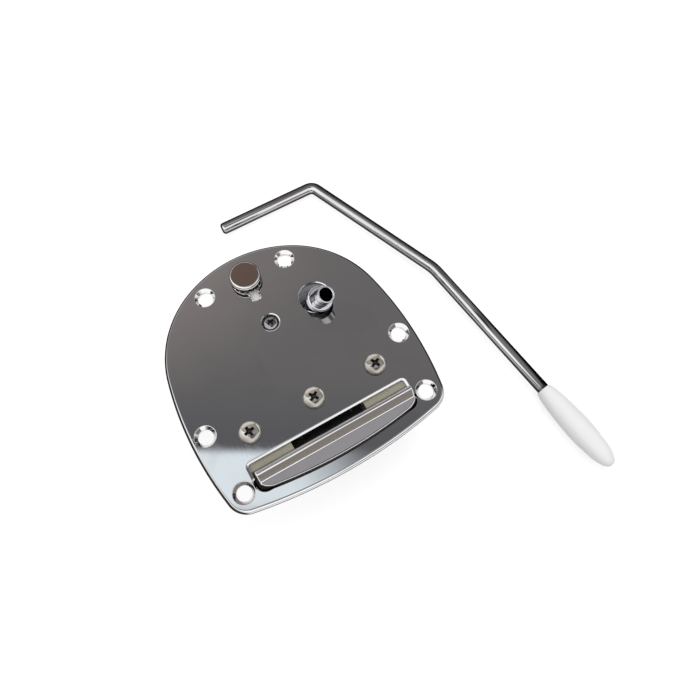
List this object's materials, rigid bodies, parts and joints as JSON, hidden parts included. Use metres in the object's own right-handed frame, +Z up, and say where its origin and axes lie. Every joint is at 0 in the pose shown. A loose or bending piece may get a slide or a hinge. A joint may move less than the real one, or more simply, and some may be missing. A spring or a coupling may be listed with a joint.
{
  "type": "guitar tremolo bridge",
  "caption": "Chromed floating tremolo tailpiece with a knife-edge string lip, sprung lever, sliding lock and leaning arm socket; its bent arm with a pale tip lies beside it.",
  "frame": {"origin": "on the seat of the top plate's rim, at the middle of its front edge", "axes": "+X to the treble side, +Y to the rear away from the bridge's strings, +Z up out of the guitar's top"},
  "size_m": [0.1623, 0.2036, 0.048],
  "materials": {
    "chrome": "bright mirror chrome plate",
    "nickel": "warm nickel plate on pan-head screws",
    "yellow_zinc": "dull yellow zinc passivate",
    "bright_zinc": "pale zinc plate on hidden hardware",
    "spring_steel": "oiled spring wire",
    "arm_steel": "polished steel rod, duller in its middle",
    "white_plastic": "moulded white plastic"
  },
  "bodies": {
    "base": {"top_plate": "chrome", "fulcrum_plate": "yellow_zinc", "pivot_screws": "nickel", "pivot_washers": "bright_zinc", "pivot_nuts": "bright_zinc", "spring_cradle": "bright_zinc", "spring_seat": "bright_zinc", "main_spring": "spring_steel"},
    "string_plate": {"string_lip": "chrome", "lever_plate": "bright_zinc", "lip_rivets": "bright_zinc", "screw_bush": "bright_zinc", "arm_socket": "chrome", "socket_collar": "chrome", "socket_seat": "bright_zinc", "socket_wedge": "bright_zinc", "socket_washer": "bright_zinc", "socket_nut": "bright_zinc"},
    "tension_screw": {"tension_screw": "chrome"},
    "spring_nut": {"spring_nut": "bright_zinc"},
    "lock": {"lock_button": "chrome", "lock_washer": "chrome", "lock_neck": "bright_zinc", "lock_plate": "bright_zinc", "lock_screw": "bright_zinc"},
    "arm": {"tremolo_arm": "arm_steel", "arm_tip": "white_plastic"}
  },
  "joints": [
    {"name": "lip_pivot", "type": "hinge", "parent": "base", "child": "string_plate", "pos_m": [0, 0.0146, 0.0013], "axis": [1, 0, 0], "range_deg": [0, 5.5], "stiffness_Nm_per_rad": 10, "springref_deg": -14.32, "deforming": ["main_spring"]},
    {"name": "tension_turn", "type": "hinge", "parent": "string_plate", "child": "tension_screw", "pos_m": [0, 0.0716, 0], "axis": [0, 0, -1], "range_deg": [0, 720]},
    {"name": "nut_travel", "type": "slide", "parent": "string_plate", "child": "spring_nut", "axis": [0, 0, 1], "range_m": [0, 0.0014], "deforming": ["main_spring"]},
    {"name": "lock_slide", "type": "slide", "parent": "base", "child": "lock", "axis": [0, -1, 0], "range_m": [0, 0.007]},
    {"name": "arm_lift", "type": "slide", "parent": "base", "child": "arm", "axis": [0, 0, 1], "range_m": [0, 0.08]}
  ],
  "couplings": [
    {"joint": "tension_turn", "follows": "nut_travel", "rad_per_m": 8975.9}
  ]
}
